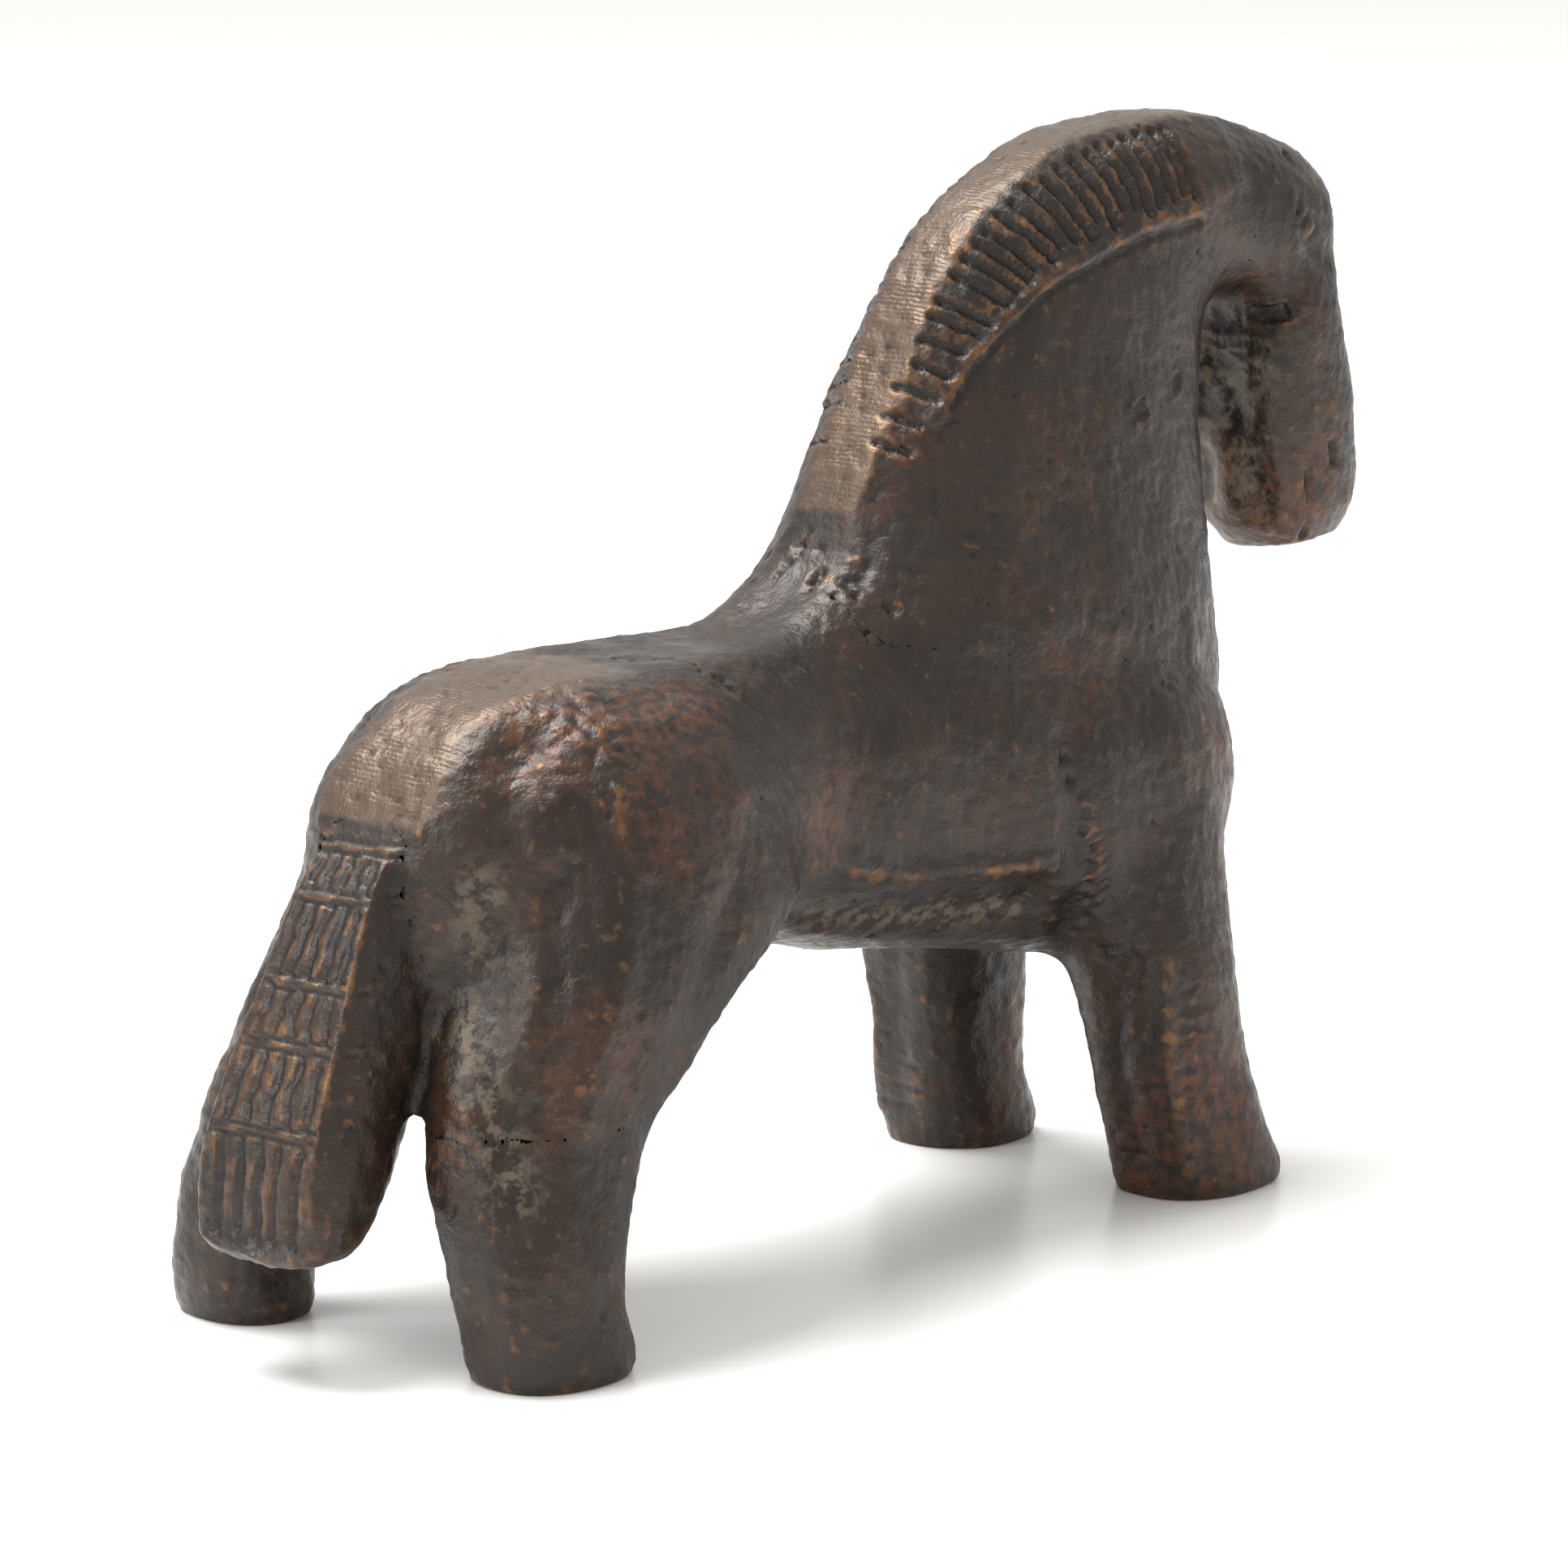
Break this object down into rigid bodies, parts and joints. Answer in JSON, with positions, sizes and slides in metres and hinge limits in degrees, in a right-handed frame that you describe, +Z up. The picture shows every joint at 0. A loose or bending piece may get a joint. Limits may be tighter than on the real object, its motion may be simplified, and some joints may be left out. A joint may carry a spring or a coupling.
{
  "type": "cast bronze horse statuette",
  "caption": "Small solid cast metal horse standing on four short stout legs, with an arched neck, a cut mane, a tucked head and a broad flat tail.",
  "frame": {"origin": "on the ground, under the centre of the horse's bounding box", "axes": "+X along the body towards the head, +Y to the horse's left, +Z up"},
  "size_m": [0.1066, 0.0344, 0.0733],
  "materials": {
    "bronze": "aged dark brown patina over cast and filed bronze, rubbed to orange brown on edges"
  },
  "bodies": {
    "root": {"trunk": "bronze", "neck": "bronze", "head": "bronze", "foreleg_right": "bronze", "foreleg_left": "bronze", "hindleg_right": "bronze", "hindleg_left": "bronze", "tail": "bronze"}
  },
  "joints": []
}
